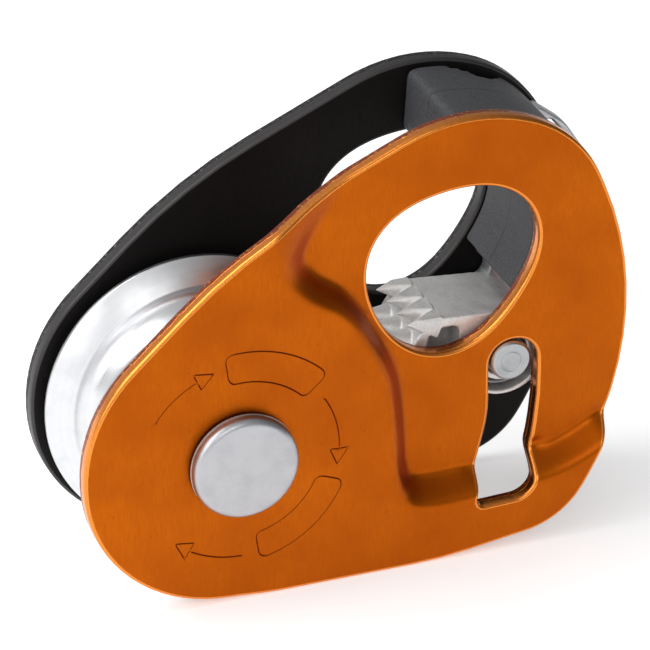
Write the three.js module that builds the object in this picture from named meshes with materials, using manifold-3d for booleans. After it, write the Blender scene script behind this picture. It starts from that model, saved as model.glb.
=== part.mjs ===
import * as THREE from 'three';
import { mergeVertices } from 'three/addons/utils/BufferGeometryUtils.js';
import Module from 'manifold-3d';

// Rope pulley with a progress-capture cam. Millimetres, +Z up, seen from the front when looking along +Y.
// Everything is drawn round the axle of the sheave and set down on the plates' bottom edges at the end.

const wasm = await Module();
wasm.setup();

// Driving dimensions
const gap = 0.3;
const sheaveRadius = 17.7;
const grooveRadius = 12.5;
const sheaveWidth = 14.6;
const sheaveMidY = -0.2;
const frontThickness = 2.2;
const backThickness = 2.5;
const backInnerY = 8.4;
const pressedOuterY = -11.1;
const nearOuterY = -8.1;
const axleRadius = 3;
const sleeveRadius = 4;
const headRadius = 6.4;
const headHeight = 1.7;
const bearingRadius = 9.5;
const bearingWidth = 7;
const ballCount = 8;
const ballRadius = 1.6;
const pitchRadius = 6.75;
const pinX = 34.4;
const pinZ = 4.7;
const pinRadius = 2.5;
const bossRadius = 5.4;
const leverThickness = 2.6;
const camFrontY = -5.5;
const floorZ = -18;
const rivetEnd = 0.9;
const pinEnd = 1.3;
const pinFlange = 1.2;
const sealInner = 6.05;
const sealOuter = 7.7;
const sealThickness = 0.7;
const innerRaceOuter = 5.75;
const outerRaceInner = 8;
const ballClearance = 0.12;
const springRadius = 4.2;
const springTurns = 2.5;
const springPitch = 0.78;
const springWire = 0.3;
const springPocket = [3.5, 4.9];
const springPocketDepth = 3.3;
const reliefDepth = 2.4;
const hubInset = 0.7;
const hubBottom = 11.4;
const hubRivetRadius = 1.5;
const hubRivets = [[29.6, 32.4], [37.2, 30.6]];
const pocketEnd = 73.5;
const pocketTop = 12.9;
const notchDepth = 2.2;
const toothRadius = 1.3;
const toothHeight = 2.6;

// Places that follow from them
const backOuterY = backInnerY + backThickness;
const pressedInnerY = pressedOuterY + frontThickness;
const nearInnerY = nearOuterY + frontThickness;
const leverBackY = backInnerY - gap;
const leverFrontY = leverBackY - leverThickness;
const camBackY = leverFrontY - gap;
const hubFrontY = nearInnerY + gap;
const hubBackY = backInnerY - gap;
const hubRivetFrontY = camFrontY + 3.4;
const headFaceY = pressedOuterY - gap - headHeight;
const bearingFrontY = sheaveMidY - bearingWidth / 2;
const bearingBackY = sheaveMidY + bearingWidth / 2;

// Outline of both plates: corners [x, z, radius] of a rounded polygon, anticlockwise
const plateCorners = [
  [-18.4, -16.4, 17.5], [4, floorZ, 40], [24.5, floorZ, 50], [40, -15.7, 10],
  [53.4, 7, 40], [42.3, 33.3, 15.5], [28.1, 38.5, 20], [0, 25.8, 58], [-19, 8.2, 18.6],
];
// Attachment hole for a carabiner: a circle drawn out into a soft egg
const holeX = 26.7;
const holeZ = 18.4;
const holeRadius = 10.35;
const holeStretch = 0.47;
const holeEgg = 0.52;
// Slot that lets the front plate swing clear of the cam pin
const slotCorners = [
  [28.8, -11.95, 0.8], [36, -11.65, 2.7], [37.6, 0, 40], [37.4, 7.7, 2.9],
  [31.4, 7.7, 2.9], [31.5, -1.6, 16], [30.3, -6.4, 14],
];
// Plan of the pressed step: its upper edge, on the raised area, and its lower edge, on the near area
const stepTop = [
  [-3, 36], [2.2, 30.5], [4.4, 25.5], [5.4, 21.6], [8, 18.9], [11.6, 16.7], [14, 14.2], [15.4, 11.6],
  [16.8, 8.6], [17.8, 5.6], [18.3, 2], [18.6, -2.4], [18.9, -6.4], [20.2, -9.7], [23.6, -10.6],
  [30, -10.4], [39.2, -9.5], [46.8, -6.2], [54, -3],
];
const stepFoot = [
  [17, 40], [14.4, 32.5], [10.6, 27], [8.7, 23.3], [10.2, 20.6], [13.2, 18.2], [15.4, 15.4], [16.9, 12.9],
  [18.5, 10.2], [19.8, 7], [20.5, 2.6], [20.8, -2], [21, -5.4], [21.9, -7.6], [24.2, -8.1],
  [30, -7.9], [38.8, -7], [45.9, -3.8], [53, -0.6],
];
// Corners of a plan that reaches past the plate's edge, beyond each side of the step
const raisedRim = [[70, -40], [-40, -40], [-40, 60]];
const nearRim = [[40, 60], [70, 60], [70, 0]];
// Part of the plates' outline that the hub block fills
const hubReach = [
  [31, 20, 0.5], [33, hubBottom, 0.3], [41, hubBottom, 0.5], [80, 9.4, 0.5],
  [80, 60, 0.5], [27, 60, 0.5], [27, 27, 0.5],
];
const hubNotch = [[34, 34.2, 0.4], [38, 32, 0.4], [42, 40, 0.4], [32, 40, 0.4]];
// Toothed face of the cam, from its flat top down and round towards the sheave
const camFace = [
  [24.6, 10.9], [22.5, 10.2], [21.3, 8.6], [20.9, 6.2], [21.1, 3.6], [22.2, 1.2], [24.2, -0.9], [27, -2],
];
const camRelief = [[24, 1.2, 1.4], [28.4, -0.4, 1.4], [28.7, 9.5, 1.2], [24.4, 9.6, 1.2], [23, 5, 4]];
// Where the teeth stand: steps along the face for each row, and depths in y for even and odd rows
const toothRows = [10, 16, 22, 28];
const toothColumns = [[-1.8, 1.7], [-3.6, 0, 3.4]];
const leverCorners = [
  [39.6, -1, 4.6], [45.4, 8.2, 6], [51, 15.4, 5], [49.6, 22.2, 5], [46.3, 27.3, 4],
  [42.4, 30.3, 0.8], [37.6, 13.4, 2], [36.8, 8.4, 1.5], [31, 8.5, 3.2], [31, 0.9, 3.2],
];
const thumbSlotCorners = [[43.2, 27.5, 0.7], [45.4, 24.8, 0.7], [46.4, 25.7, 0.7], [44.2, 28.4, 0.7]];
const leverEye = [47.6, 23.4, 0.7];

function finish(colour, roughness, metalness) {
  return new THREE.MeshStandardMaterial({ color: colour, roughness, metalness });
}

const orangeAnodised = finish(0xb85a10, 0.42, 0.6);
const blackAnodised = finish(0x16120f, 0.5, 0.5);
const turnedAluminium = finish(0xcdd1d6, 0.3, 1);
const satinSteel = finish(0xc4c6cc, 0.32, 1);
const castSteel = finish(0xaaacaa, 0.55, 0.9);
const bearingSteel = finish(0xd6d8dc, 0.15, 1);
const springSteel = finish(0x8c9092, 0.35, 1);
const blackPlastic = finish(0x3c3e42, 0.75, 0);
const sealRubber = finish(0x1a1a1c, 0.8, 0);
const cageBrass = finish(0xb08d4c, 0.35, 0.9);

const pulley = new THREE.Group();

function addPiece(name, geometry, material) {
  const mesh = new THREE.Mesh(geometry, material);
  mesh.name = name;
  pulley.add(mesh);
  return mesh;
}

// Joining and cutting
function toSolid(geometry) {
  const bare = geometry.clone();
  bare.deleteAttribute('normal');
  bare.deleteAttribute('uv');
  const merged = mergeVertices(bare, 1e-4);
  const triangles = [];
  const index = merged.index.array;
  for (let i = 0; i < index.length; i += 3) {
    const [a, b, c] = [index[i], index[i + 1], index[i + 2]];
    if (a !== b && b !== c && a !== c) {
      triangles.push(a, b, c);
    }
  }
  const mesh = new wasm.Mesh({
    numProp: 3,
    vertProperties: new Float32Array(merged.attributes.position.array),
    triVerts: new Uint32Array(triangles),
  });
  return new wasm.Manifold(mesh);
}

function toGeometry(solid) {
  const mesh = solid.getMesh();
  const geometry = new THREE.BufferGeometry();
  geometry.setAttribute('position', new THREE.BufferAttribute(new Float32Array(mesh.vertProperties), 3));
  geometry.setIndex(new THREE.BufferAttribute(new Uint32Array(mesh.triVerts), 1));
  return geometry;
}

function cut(base, ...tools) {
  return toGeometry(tools.reduce((solid, tool) => solid.subtract(toSolid(tool)), toSolid(base)));
}

function join(base, ...others) {
  return toGeometry(others.reduce((solid, other) => solid.add(toSolid(other)), toSolid(base)));
}

function keep(base, limit) {
  return toGeometry(toSolid(base).intersect(toSolid(limit)));
}

// Points of a rounded polygon whose corners are [x, z, radius]
function roundedPoints(corners, stepDegrees = 9) {
  const points = [];
  corners.forEach(([x, z, radius], i) => {
    const corner = new THREE.Vector2(x, z);
    const before = new THREE.Vector2(...corners.at(i - 1).slice(0, 2)).sub(corner).normalize();
    const after = new THREE.Vector2(...corners[(i + 1) % corners.length].slice(0, 2)).sub(corner).normalize();
    const half = Math.acos(before.dot(after)) / 2;
    const side = Math.sign(after.cross(before));
    const centre = before.clone().add(after).normalize().multiplyScalar(radius / Math.sin(half)).add(corner);
    const start = before.multiplyScalar(radius / Math.tan(half)).add(corner).sub(centre);
    const turn = (Math.PI - 2 * half) * side;
    const steps = Math.max(2, Math.ceil(THREE.MathUtils.radToDeg(Math.abs(turn)) / stepDegrees));
    for (let k = 0; k <= steps; k += 1) {
      points.push(start.clone().rotateAround(new THREE.Vector2(), (turn * k) / steps).add(centre));
    }
  });
  return points.filter((point, i) => point.distanceTo(points.at(i - 1)) > 0.05);
}

function grown(corners, distance) {
  const points = roundedPoints(corners);
  return points.map((point, i) => {
    const along = points[(i + 1) % points.length].clone().sub(points.at(i - 1)).normalize();
    return new THREE.Vector2(point.x + along.y * distance, point.y - along.x * distance);
  });
}

function holePoints(extra = 0, count = 56) {
  return Array.from({ length: count }, (_, i) => {
    const angle = (2 * Math.PI * i) / count;
    const stretch = holeStretch * Math.cos(2 * (angle - THREE.MathUtils.degToRad(40)));
    const radius = holeRadius + stretch + holeEgg * Math.sin(3 * angle) + extra;
    return new THREE.Vector2(holeX + radius * Math.cos(angle), holeZ + radius * Math.sin(angle));
  });
}

function circlePoints(x, z, radius, count = 32) {
  return Array.from({ length: count }, (_, i) => {
    const angle = (2 * Math.PI * i) / count;
    return new THREE.Vector2(x + radius * Math.cos(angle), z + radius * Math.sin(angle));
  });
}

// Slab with the outline `points` in x and z, between two depths in y
function slab(points, frontY, backY, holes = []) {
  const shape = new THREE.Shape(points);
  shape.holes = holes.map((hole) => new THREE.Path(hole));
  const geometry = new THREE.ExtrudeGeometry(shape, { depth: backY - frontY, bevelEnabled: false });
  geometry.rotateX(Math.PI / 2);
  geometry.translate(0, backY, 0);
  return geometry;
}

// Solid turned round the line x, z along y; the profile runs [radius, y] up its outside
function turned(profile, x = 0, z = 0, segments = 36) {
  const points = profile.map(([radius, y]) => new THREE.Vector2(radius, y));
  const geometry = new THREE.LatheGeometry(points, segments);
  geometry.translate(x, 0, z);
  return geometry;
}

function ring(inner, outer, frontY, backY, x = 0, z = 0, segments = 36) {
  const profile = [[inner, frontY], [outer, frontY], [outer, backY], [inner, backY], [inner, frontY]];
  return turned(profile, x, z, segments);
}

function smooth(points, count) {
  return new THREE.SplineCurve(points.map(([x, z]) => new THREE.Vector2(x, z))).getSpacedPoints(count);
}

// Sheet folded along the step: raised area, sloping wall and near area, one closed skin
function foldedSheet() {
  const count = 40;
  const top = smooth(stepTop, count);
  const foot = smooth(stepFoot, count);
  const corners = [...raisedRim, ...nearRim].map(([x, z]) => new THREE.Vector2(x, z));
  const plan = [...top, ...foot, ...corners];
  const depth = [top, foot, raisedRim, nearRim].flatMap((points, i) => {
    return points.map(() => (i % 2 ? nearOuterY : pressedOuterY));
  });
  const raisedLoop = [...top.keys(), ...raisedRim.map((_, i) => 2 * top.length + i)];
  const nearLoop = [...foot.keys()].map((i) => i + top.length).reverse();
  nearLoop.push(...nearRim.map((_, i) => 2 * top.length + raisedRim.length + i));
  const faces = [];
  [raisedLoop, nearLoop].forEach((loop) => {
    const contour = loop.map((i) => plan[i]);
    THREE.ShapeUtils.triangulateShape(contour, []).forEach((face) => faces.push(face.map((i) => loop[i])));
  });
  for (let i = 0; i < count; i += 1) {
    const [a, b, c, d] = [i, i + 1, top.length + i, top.length + i + 1];
    faces.push([a, b, d], [a, d, c]);
  }
  const area = ([a, b, c]) => THREE.ShapeUtils.area([plan[a], plan[b], plan[c]]);
  const upward = faces.map((face) => (area(face) > 0 ? face : [face[0], face[2], face[1]]));
  const edges = new Map();
  upward.forEach((face) => {
    face.forEach((a, i) => edges.set(`${a},${face[(i + 1) % 3]}`, [a, face[(i + 1) % 3]]));
  });
  const n = plan.length;
  const index = [];
  upward.forEach(([a, b, c]) => index.push(a, b, c, n + a, n + c, n + b));
  edges.forEach(([a, b]) => {
    if (!edges.has(`${b},${a}`)) {
      index.push(a, n + a, n + b, a, n + b, b);
    }
  });
  const position = [];
  [0, frontThickness].forEach((lift) => {
    plan.forEach((point, i) => position.push(point.x, depth[i] + lift, point.y));
  });
  const geometry = new THREE.BufferGeometry();
  geometry.setAttribute('position', new THREE.Float32BufferAttribute(position, 3));
  geometry.setIndex(index);
  return geometry;
}

function frontPlate() {
  const holes = [holePoints(), roundedPoints(slotCorners), circlePoints(0, 0, axleRadius + gap)];
  const blank = slab(roundedPoints(plateCorners), pressedOuterY - 1, nearInnerY + 1, holes);
  return keep(foldedSheet(), blank);
}

function backPlate() {
  const holes = [
    holePoints(),
    circlePoints(0, 0, axleRadius + gap),
    circlePoints(pinX, pinZ, pinRadius + gap),
  ];
  hubRivets.forEach(([x, z]) => holes.push(circlePoints(x, z, hubRivetRadius + gap, 20)));
  return slab(roundedPoints(plateCorners), backInnerY, backOuterY, holes);
}

// Grooved wheel: thin rims, flared flanks and a round groove floor, bored for the bearing
function sheave() {
  const half = sheaveWidth / 2;
  const rim = 0.7;
  const flankY = 4.4;
  const flankRadius = grooveRadius + 2.5;
  const profile = [[bearingRadius + gap, -half], [sheaveRadius - 0.3, -half], [sheaveRadius, -half + 0.3]];
  profile.push([sheaveRadius, -half + rim], [flankRadius, -flankY]);
  for (let k = 1; k < 8; k += 1) {
    const angle = (Math.PI * k) / 8;
    profile.push([flankRadius - (flankRadius - grooveRadius) * Math.sin(angle), -flankY * Math.cos(angle)]);
  }
  profile.push([flankRadius, flankY], [sheaveRadius, half - rim], [sheaveRadius, half - 0.3]);
  profile.push([sheaveRadius - 0.3, half], [bearingRadius + gap, half], [bearingRadius + gap, -half]);
  return turned(profile.map(([r, y]) => [r, y + sheaveMidY]), 0, 0, 60);
}

// Race ring with a round track for the balls, on its inside or its outside
function raceRing(inner, outer, trackOutside) {
  const half = bearingWidth / 2;
  const track = ballRadius + ballClearance;
  const arc = [];
  for (let k = 0; k <= 6; k += 1) {
    const angle = THREE.MathUtils.degToRad(-48 + 16 * k);
    const reach = track * Math.cos(angle);
    arc.push([trackOutside ? pitchRadius - reach : pitchRadius + reach, track * Math.sin(angle)]);
  }
  const profile = trackOutside
    ? [[inner, -half], [outer, -half], ...arc, [outer, half], [inner, half], [inner, -half]]
    : [[inner, -half], [outer, -half], [outer, half], [inner, half], ...arc.reverse(), [inner, -half]];
  return turned(profile.map(([r, y]) => [r, y + sheaveMidY]), 0, 0, 36);
}

function ballPlaces() {
  return Array.from({ length: ballCount }, (_, i) => {
    const angle = (2 * Math.PI * i) / ballCount;
    return [pitchRadius * Math.cos(angle), pitchRadius * Math.sin(angle)];
  });
}

function ball(x, z, radius = ballRadius) {
  const geometry = new THREE.SphereGeometry(radius, 12, 8);
  geometry.translate(x, sheaveMidY, z);
  return geometry;
}

// Brass band with a pocket for each ball
function ballCage() {
  const thickness = 1.1;
  const width = 3.9;
  const [inner, outer] = [pitchRadius - thickness / 2, pitchRadius + thickness / 2];
  const band = ring(inner, outer, sheaveMidY - width / 2, sheaveMidY + width / 2);
  return cut(band, ...ballPlaces().map(([x, z]) => ball(x, z, ballRadius + ballClearance)));
}

// Rubber ring that closes one side of the bearing, -1 in front and 1 behind
function seal(side) {
  const outerY = sheaveMidY + side * (bearingWidth / 2 - 0.1);
  const innerY = outerY - side * sealThickness;
  return ring(sealInner, sealOuter, Math.min(outerY, innerY), Math.max(outerY, innerY));
}

// Hard sleeve on the rivet, which carries the bearing and keeps the plates apart
function axleSleeve() {
  return ring(axleRadius + gap, sleeveRadius, pressedInnerY + gap, backInnerY - gap);
}

// Washer between the bearing's inner ring and a plate
function spacer(frontY, backY) {
  return ring(sleeveRadius + gap, innerRaceOuter, frontY, backY);
}

// Rivet through both plates; its broad head closes the front
function axleRivet() {
  const edge = 0.6;
  const profile = [[0, headFaceY], [headRadius - edge, headFaceY]];
  for (let k = 1; k <= 4; k += 1) {
    const angle = (Math.PI / 2) * (k / 4);
    profile.push([headRadius - edge + edge * Math.sin(angle), headFaceY + edge - edge * Math.cos(angle)]);
  }
  profile.push([headRadius, headFaceY + headHeight], [axleRadius, headFaceY + headHeight]);
  profile.push([axleRadius, backOuterY + rivetEnd], [0, backOuterY + rivetEnd]);
  return turned(profile);
}

// Ring that is swaged over the rivet's tail behind the back plate
function backRivetHead() {
  const y = backOuterY + gap;
  return turned([
    [axleRadius + gap, y], [headRadius, y], [headRadius, y + 0.7], [headRadius - 0.5, y + 1.2],
    [axleRadius + gap + 0.3, y + 1.2], [axleRadius + gap, y + 0.9], [axleRadius + gap, y],
  ]);
}

function polar(radius, degrees) {
  const angle = THREE.MathUtils.degToRad(degrees);
  return new THREE.Vector2(pinX + radius * Math.cos(angle), pinZ + radius * Math.sin(angle));
}

function sector(inner, outer, fromDegrees, toDegrees, count = 16) {
  const degrees = (k) => fromDegrees + ((toDegrees - fromDegrees) * k) / count;
  const far = Array.from({ length: count + 1 }, (_, k) => polar(outer, degrees(k)));
  const near = Array.from({ length: count + 1 }, (_, k) => polar(inner, degrees(count - k)));
  return [...far, ...near];
}

// Plastic block that keeps the plates apart round the far side of the attachment hole. A pocket behind
// takes the lever, and the rivets' blind bores open at the back.
function hubBlock() {
  const body = slab(grown(plateCorners, -hubInset), hubFrontY, hubBackY, [holePoints(gap)]);
  const limit = slab(roundedPoints(hubReach), hubFrontY - 1, hubBackY + 1);
  const pocket = slab(sector(2, 40, -40, pocketEnd), leverFrontY - gap, hubBackY + 1);
  const lowPocket = slab(roundedPoints([
    [30, hubBottom - 4, 0.3], [50, hubBottom - 4, 0.3], [50, pocketTop, 0.3], [30, pocketTop, 0.3],
  ]), leverFrontY - gap, hubBackY + 1);
  const notch = slab(roundedPoints(hubNotch), hubBackY - notchDepth, hubBackY + 1);
  const boreFloorY = hubRivetFrontY - gap;
  const bores = hubRivets.map(([x, z]) => {
    return slab(circlePoints(x, z, hubRivetRadius + gap, 20), boreFloorY, hubBackY + 1);
  });
  return cut(keep(body, limit), pocket, lowPocket, notch, ...bores);
}

function hubRivet(x, z) {
  const frontY = hubRivetFrontY;
  const endY = backOuterY - 0.1;
  return turned([[0, frontY], [hubRivetRadius, frontY], [hubRivetRadius, endY], [0, endY]], x, z, 20);
}

// Cone teeth that stand out from the cam's face, leaning a little towards the front
function camTeeth() {
  const face = smooth(camFace, 40);
  const lean = 0.25;
  const standOut = 0.5;
  return toothRows.flatMap((k, row) => {
    const normal = face[k + 1].clone().sub(face[k - 1]).normalize();
    normal.rotateAround(new THREE.Vector2(), -Math.PI / 2);
    return toothColumns[row % 2].map((y) => {
      const tooth = new THREE.ConeGeometry(toothRadius, toothHeight, 10);
      tooth.rotateZ(Math.PI / 2 + lean);
      tooth.rotateY(-Math.atan2(-normal.y, -normal.x));
      tooth.translate(face[k].x + normal.x * standOut, y, face[k].y + normal.y * standOut);
      return tooth;
    });
  });
}

// Toothed cam: a boss round the pin, a flat top and a toothed face. Its front has a ring-shaped pocket
// for the spring and a shallow relief.
function cam() {
  const bossFrom = -120;
  const bossSteps = 24;
  const bossTurn = 210;
  const boss = Array.from({ length: bossSteps + 1 }, (_, k) => {
    return polar(bossRadius, bossFrom + (bossTurn * k) / bossSteps);
  });
  const outline = [...boss, ...smooth(camFace, 24)];
  const body = slab(outline, camFrontY, camBackY, [circlePoints(pinX, pinZ, pinRadius + gap)]);
  const pocket = ring(...springPocket, camFrontY - 1, camFrontY + springPocketDepth, pinX, pinZ);
  const relief = slab(roundedPoints(camRelief), camFrontY - 1, camFrontY + reliefDepth);
  return join(cut(body, pocket, relief), ...camTeeth());
}

// Flat lever fixed behind the cam; its thumb tab stands out past the plates
function releaseLever() {
  const holes = [
    circlePoints(pinX, pinZ, pinRadius + gap),
    roundedPoints(thumbSlotCorners),
    circlePoints(...leverEye, 12),
  ];
  return slab(roundedPoints(leverCorners), leverFrontY, leverBackY, holes);
}

// Pin of the cam, with a flange behind the back plate
function camPin() {
  const frontY = nearOuterY + 0.4;
  const chamfer = 0.35;
  const bevel = 0.5;
  const flangeRadius = pinRadius + pinFlange;
  return turned([
    [0, frontY], [pinRadius - chamfer, frontY], [pinRadius, frontY + chamfer], [pinRadius, backOuterY + gap],
    [flangeRadius, backOuterY + gap], [flangeRadius, backOuterY + pinEnd - bevel + 0.1],
    [flangeRadius - bevel, backOuterY + pinEnd], [0, backOuterY + pinEnd],
  ], pinX, pinZ, 32);
}

// Torsion spring lying in the ring-shaped pocket round the pin
class SpringPath extends THREE.Curve {
  getPoint(t, target = new THREE.Vector3()) {
    const angle = 2 * Math.PI * springTurns * t;
    const y = camFrontY + 0.55 + springPitch * springTurns * t;
    return target.set(pinX + springRadius * Math.cos(angle), y, pinZ + springRadius * Math.sin(angle));
  }
}

function camSpring() {
  const wire = new THREE.Shape(circlePoints(0, 0, springWire, 6));
  return new THREE.ExtrudeGeometry(wire, { steps: 44, extrudePath: new SpringPath(), bevelEnabled: false });
}

addPiece('front_plate', frontPlate(), orangeAnodised);
addPiece('back_plate', backPlate(), blackAnodised);
addPiece('sheave', sheave(), turnedAluminium);
addPiece('axle_rivet', axleRivet(), satinSteel);
addPiece('back_rivet_head', backRivetHead(), satinSteel);
addPiece('axle_sleeve', axleSleeve(), satinSteel);
addPiece('bearing_inner_ring', raceRing(sleeveRadius + gap, innerRaceOuter, true), bearingSteel);
addPiece('bearing_outer_ring', raceRing(outerRaceInner, bearingRadius, false), bearingSteel);
ballPlaces().forEach(([x, z], i) => addPiece(`bearing_ball_${i + 1}`, ball(x, z), bearingSteel));
addPiece('ball_cage', ballCage(), cageBrass);
addPiece('front_seal', seal(-1), sealRubber);
addPiece('back_seal', seal(1), sealRubber);
addPiece('front_spacer', spacer(pressedInnerY + gap, bearingFrontY - gap), satinSteel);
addPiece('back_spacer', spacer(bearingBackY + gap, backInnerY - gap), satinSteel);
addPiece('hub_block', hubBlock(), blackPlastic);
hubRivets.forEach(([x, z], i) => addPiece(`hub_rivet_${i + 1}`, hubRivet(x, z), satinSteel));
addPiece('cam', cam(), castSteel);
addPiece('release_lever', releaseLever(), satinSteel);
addPiece('cam_pin', camPin(), satinSteel);
addPiece('cam_spring', camSpring(), springSteel);

// Stand the pulley on its plates' bottom edges, centred on the origin
const bounds = new THREE.Box3().setFromObject(pulley);
const middle = bounds.getCenter(new THREE.Vector3());
pulley.position.set(-middle.x, -middle.y, -bounds.min.z);

export default pulley;
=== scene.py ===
import math

import bmesh
import bpy
import numpy as np
from mathutils import Matrix, Vector
from mathutils.geometry import delaunay_2d_cdt


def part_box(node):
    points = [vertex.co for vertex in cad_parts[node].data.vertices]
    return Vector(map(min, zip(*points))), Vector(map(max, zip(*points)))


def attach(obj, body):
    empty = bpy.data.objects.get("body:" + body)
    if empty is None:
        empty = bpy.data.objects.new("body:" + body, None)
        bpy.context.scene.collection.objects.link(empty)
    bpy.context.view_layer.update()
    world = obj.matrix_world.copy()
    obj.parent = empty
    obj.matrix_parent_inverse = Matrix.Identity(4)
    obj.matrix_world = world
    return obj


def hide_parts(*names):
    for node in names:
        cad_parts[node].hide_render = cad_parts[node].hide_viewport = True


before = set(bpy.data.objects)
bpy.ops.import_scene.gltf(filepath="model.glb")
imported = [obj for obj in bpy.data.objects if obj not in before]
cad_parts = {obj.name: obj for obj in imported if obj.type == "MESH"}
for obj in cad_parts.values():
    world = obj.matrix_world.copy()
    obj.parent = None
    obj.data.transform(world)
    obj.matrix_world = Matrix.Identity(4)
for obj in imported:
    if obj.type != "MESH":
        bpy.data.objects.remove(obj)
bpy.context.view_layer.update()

mm = 0.001

# Shapes are drawn in millimetres round the axle: x to the right, y away from the front, z up
drawing = {
    "backInner": 8.4, "backOuter": 10.9, "raised": -11.1, "near": -8.1, "sheet": 2.2,
    "pin": (34.4, 4.7), "pinBore": 2.8, "axleBore": 3.3, "hole": (26.7, 18.4),
}
rivetLow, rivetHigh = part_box("axle_rivet")
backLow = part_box("back_plate")[0]
axleX = (rivetLow.x + rivetHigh.x) / 2
axleZ = (rivetLow.z + rivetHigh.z) / 2
axle = np.array((axleX, backLow.y - drawing["backInner"] * mm, axleZ))
print("frame loaded, axle at", axle.round(5))


# Curves in the plane of the plates

def unit(vector):
    return vector / np.linalg.norm(vector)


# Rounded polygon: each corner [x, z, r] becomes an arc of radius r that touches both its sides
def roundedPath(corners, closed=True, stepDegrees=5):
    corners = np.array(corners, float)
    last = len(corners) - 1
    pieces = []
    for i, (x, z, radius) in enumerate(corners):
        here = np.array((x, z))
        if radius == 0 or (not closed and i in (0, last)):
            pieces.append(here[None])
            continue
        before = unit(corners[i - 1, :2] - here)
        after = unit(corners[(i + 1) % len(corners), :2] - here)
        half = math.acos(np.clip(before @ after, -1, 1)) / 2
        centre = here + unit(before + after) * radius / math.sin(half)
        start = here + before * radius / math.tan(half) - centre
        turn = (math.pi - 2 * half) * np.sign(after[0] * before[1] - after[1] * before[0])
        angle = np.linspace(0, turn, max(3, math.ceil(abs(math.degrees(turn)) / stepDegrees) + 1))
        across = np.array((-start[1], start[0]))
        pieces.append(centre + np.cos(angle)[:, None] * start + np.sin(angle)[:, None] * across)
    return np.concatenate(pieces)


# The same curve with its points spread evenly, about one step apart
def evenly(path, step, closed=True):
    if closed:
        path = np.concatenate([path, path[:1]])
    length = np.concatenate([[0], np.cumsum(np.linalg.norm(np.diff(path, axis=0), axis=1))])
    count = max(3, round(length[-1] / step))
    at = np.linspace(0, length[-1], count + 1)
    points = np.stack([np.interp(at, length, path[:, 0]), np.interp(at, length, path[:, 1])], axis=1)
    return points[:-1] if closed else points


# Unit normals of a closed curve, pointing to the right of its direction, so out of an anticlockwise one
def outward(loop):
    along = np.roll(loop, -1, axis=0) - np.roll(loop, 1, axis=0)
    along /= np.linalg.norm(along, axis=1)[:, None]
    return np.stack([along[:, 1], -along[:, 0]], axis=1)


def grown(loop, distance):
    return loop + outward(loop) * distance


# Closed curve with its corners softened: a running mean over a window of the given length
def softened(loop, reach, step):
    width = max(1, round(reach / step))
    weights = np.hanning(2 * width + 3)[1:-1]
    weights /= weights.sum()
    shifts = range(-width, width + 1)
    return sum(w * np.roll(loop, s, axis=0) for w, s in zip(weights, shifts))


# Catmull-Rom curve through the given points
def throughPoints(points, perSpan=14):
    p = np.array(points, float)
    p = np.concatenate([p[:1], p, p[-1:]])
    t = np.linspace(0, 1, perSpan, endpoint=False)[None, :, None]
    a, b, c, d = p[:-3, None], p[1:-2, None], p[2:-1, None], p[3:, None]
    curve = 0.5 * (2 * b + (c - a) * t + (2 * a - 5 * b + 4 * c - d) * t**2 + (3 * b - a - 3 * c + d) * t**3)
    return np.concatenate([curve.reshape(-1, 2), p[-1:]])


# Egg-shaped hole: radius = mean + stretch * cos(2 (angle - 40 degrees)) + egg * sin(3 angle)
def holeLoop(extra=0.0, count=210):
    hole = {"radius": 10.35, "stretch": 0.47, "egg": 0.52, "turn": math.radians(40)}
    x, z = drawing["hole"]
    angle = np.linspace(0, 2 * math.pi, count, endpoint=False)
    radius = hole["radius"] + hole["stretch"] * np.cos(2 * (angle - hole["turn"])) + extra
    radius += hole["egg"] * np.sin(3 * angle)
    return np.stack([x + radius * np.cos(angle), z + radius * np.sin(angle)], axis=1)


def circleLoop(x, z, radius, step=0.3):
    angle = np.linspace(0, 2 * math.pi, max(16, round(2 * math.pi * radius / step)), endpoint=False)
    return np.stack([x + radius * np.cos(angle), z + radius * np.sin(angle)], axis=1)


# Even-odd test of many points against one closed curve
def inside(points, loop):
    x, z = points[:, 0, None], points[:, 1, None]
    x1, z1 = loop.T
    x2, z2 = np.roll(loop, -1, axis=0).T
    rise = np.where(z2 == z1, 1e-9, z2 - z1)
    crossing = ((z1 > z) != (z2 > z)) & (x < (x2 - x1) * (z - z1) / rise + x1)
    return crossing.sum(axis=1) % 2 == 1


def distanceTo(points, curve, block=4000):
    parts = [points[i:i + block] for i in range(0, len(points), block)]
    return np.concatenate([np.linalg.norm(p[:, None] - curve[None], axis=2).min(axis=1) for p in parts])


# Meshes

# New piece: points in drawing millimetres, faces as lists, and any vertex attributes
def newPiece(name, points, faces, materials, faceSlots=None, attributes=None, sharpDegrees=38):
    mesh = bpy.data.meshes.new(name)
    mesh.from_pydata((np.asarray(points) * mm + axle).tolist(), [], faces)
    for key, values in (attributes or {}).items():
        mesh.attributes.new(key, "FLOAT", "POINT").data.foreach_set("value", np.asarray(values, np.float32))
    for material in materials:
        mesh.materials.append(material)
    if faceSlots is not None:
        mesh.polygons.foreach_set("material_index", np.asarray(faceSlots, np.int32))
    work = bmesh.new()
    work.from_mesh(mesh)
    bmesh.ops.remove_doubles(work, verts=work.verts, dist=1e-7)
    if work.calc_volume(signed=True) < 0:
        bmesh.ops.reverse_faces(work, faces=work.faces)
    work.to_mesh(mesh)
    work.free()
    mesh.shade_smooth()
    mesh.set_sharp_from_angle(angle=math.radians(sharpDegrees))
    piece = bpy.data.objects.new(name, mesh)
    bpy.context.scene.collection.objects.link(piece)
    return piece


def standFor(piece, body, slot, *nodes):
    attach(piece, body)
    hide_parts(*nodes)
    return piece


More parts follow.
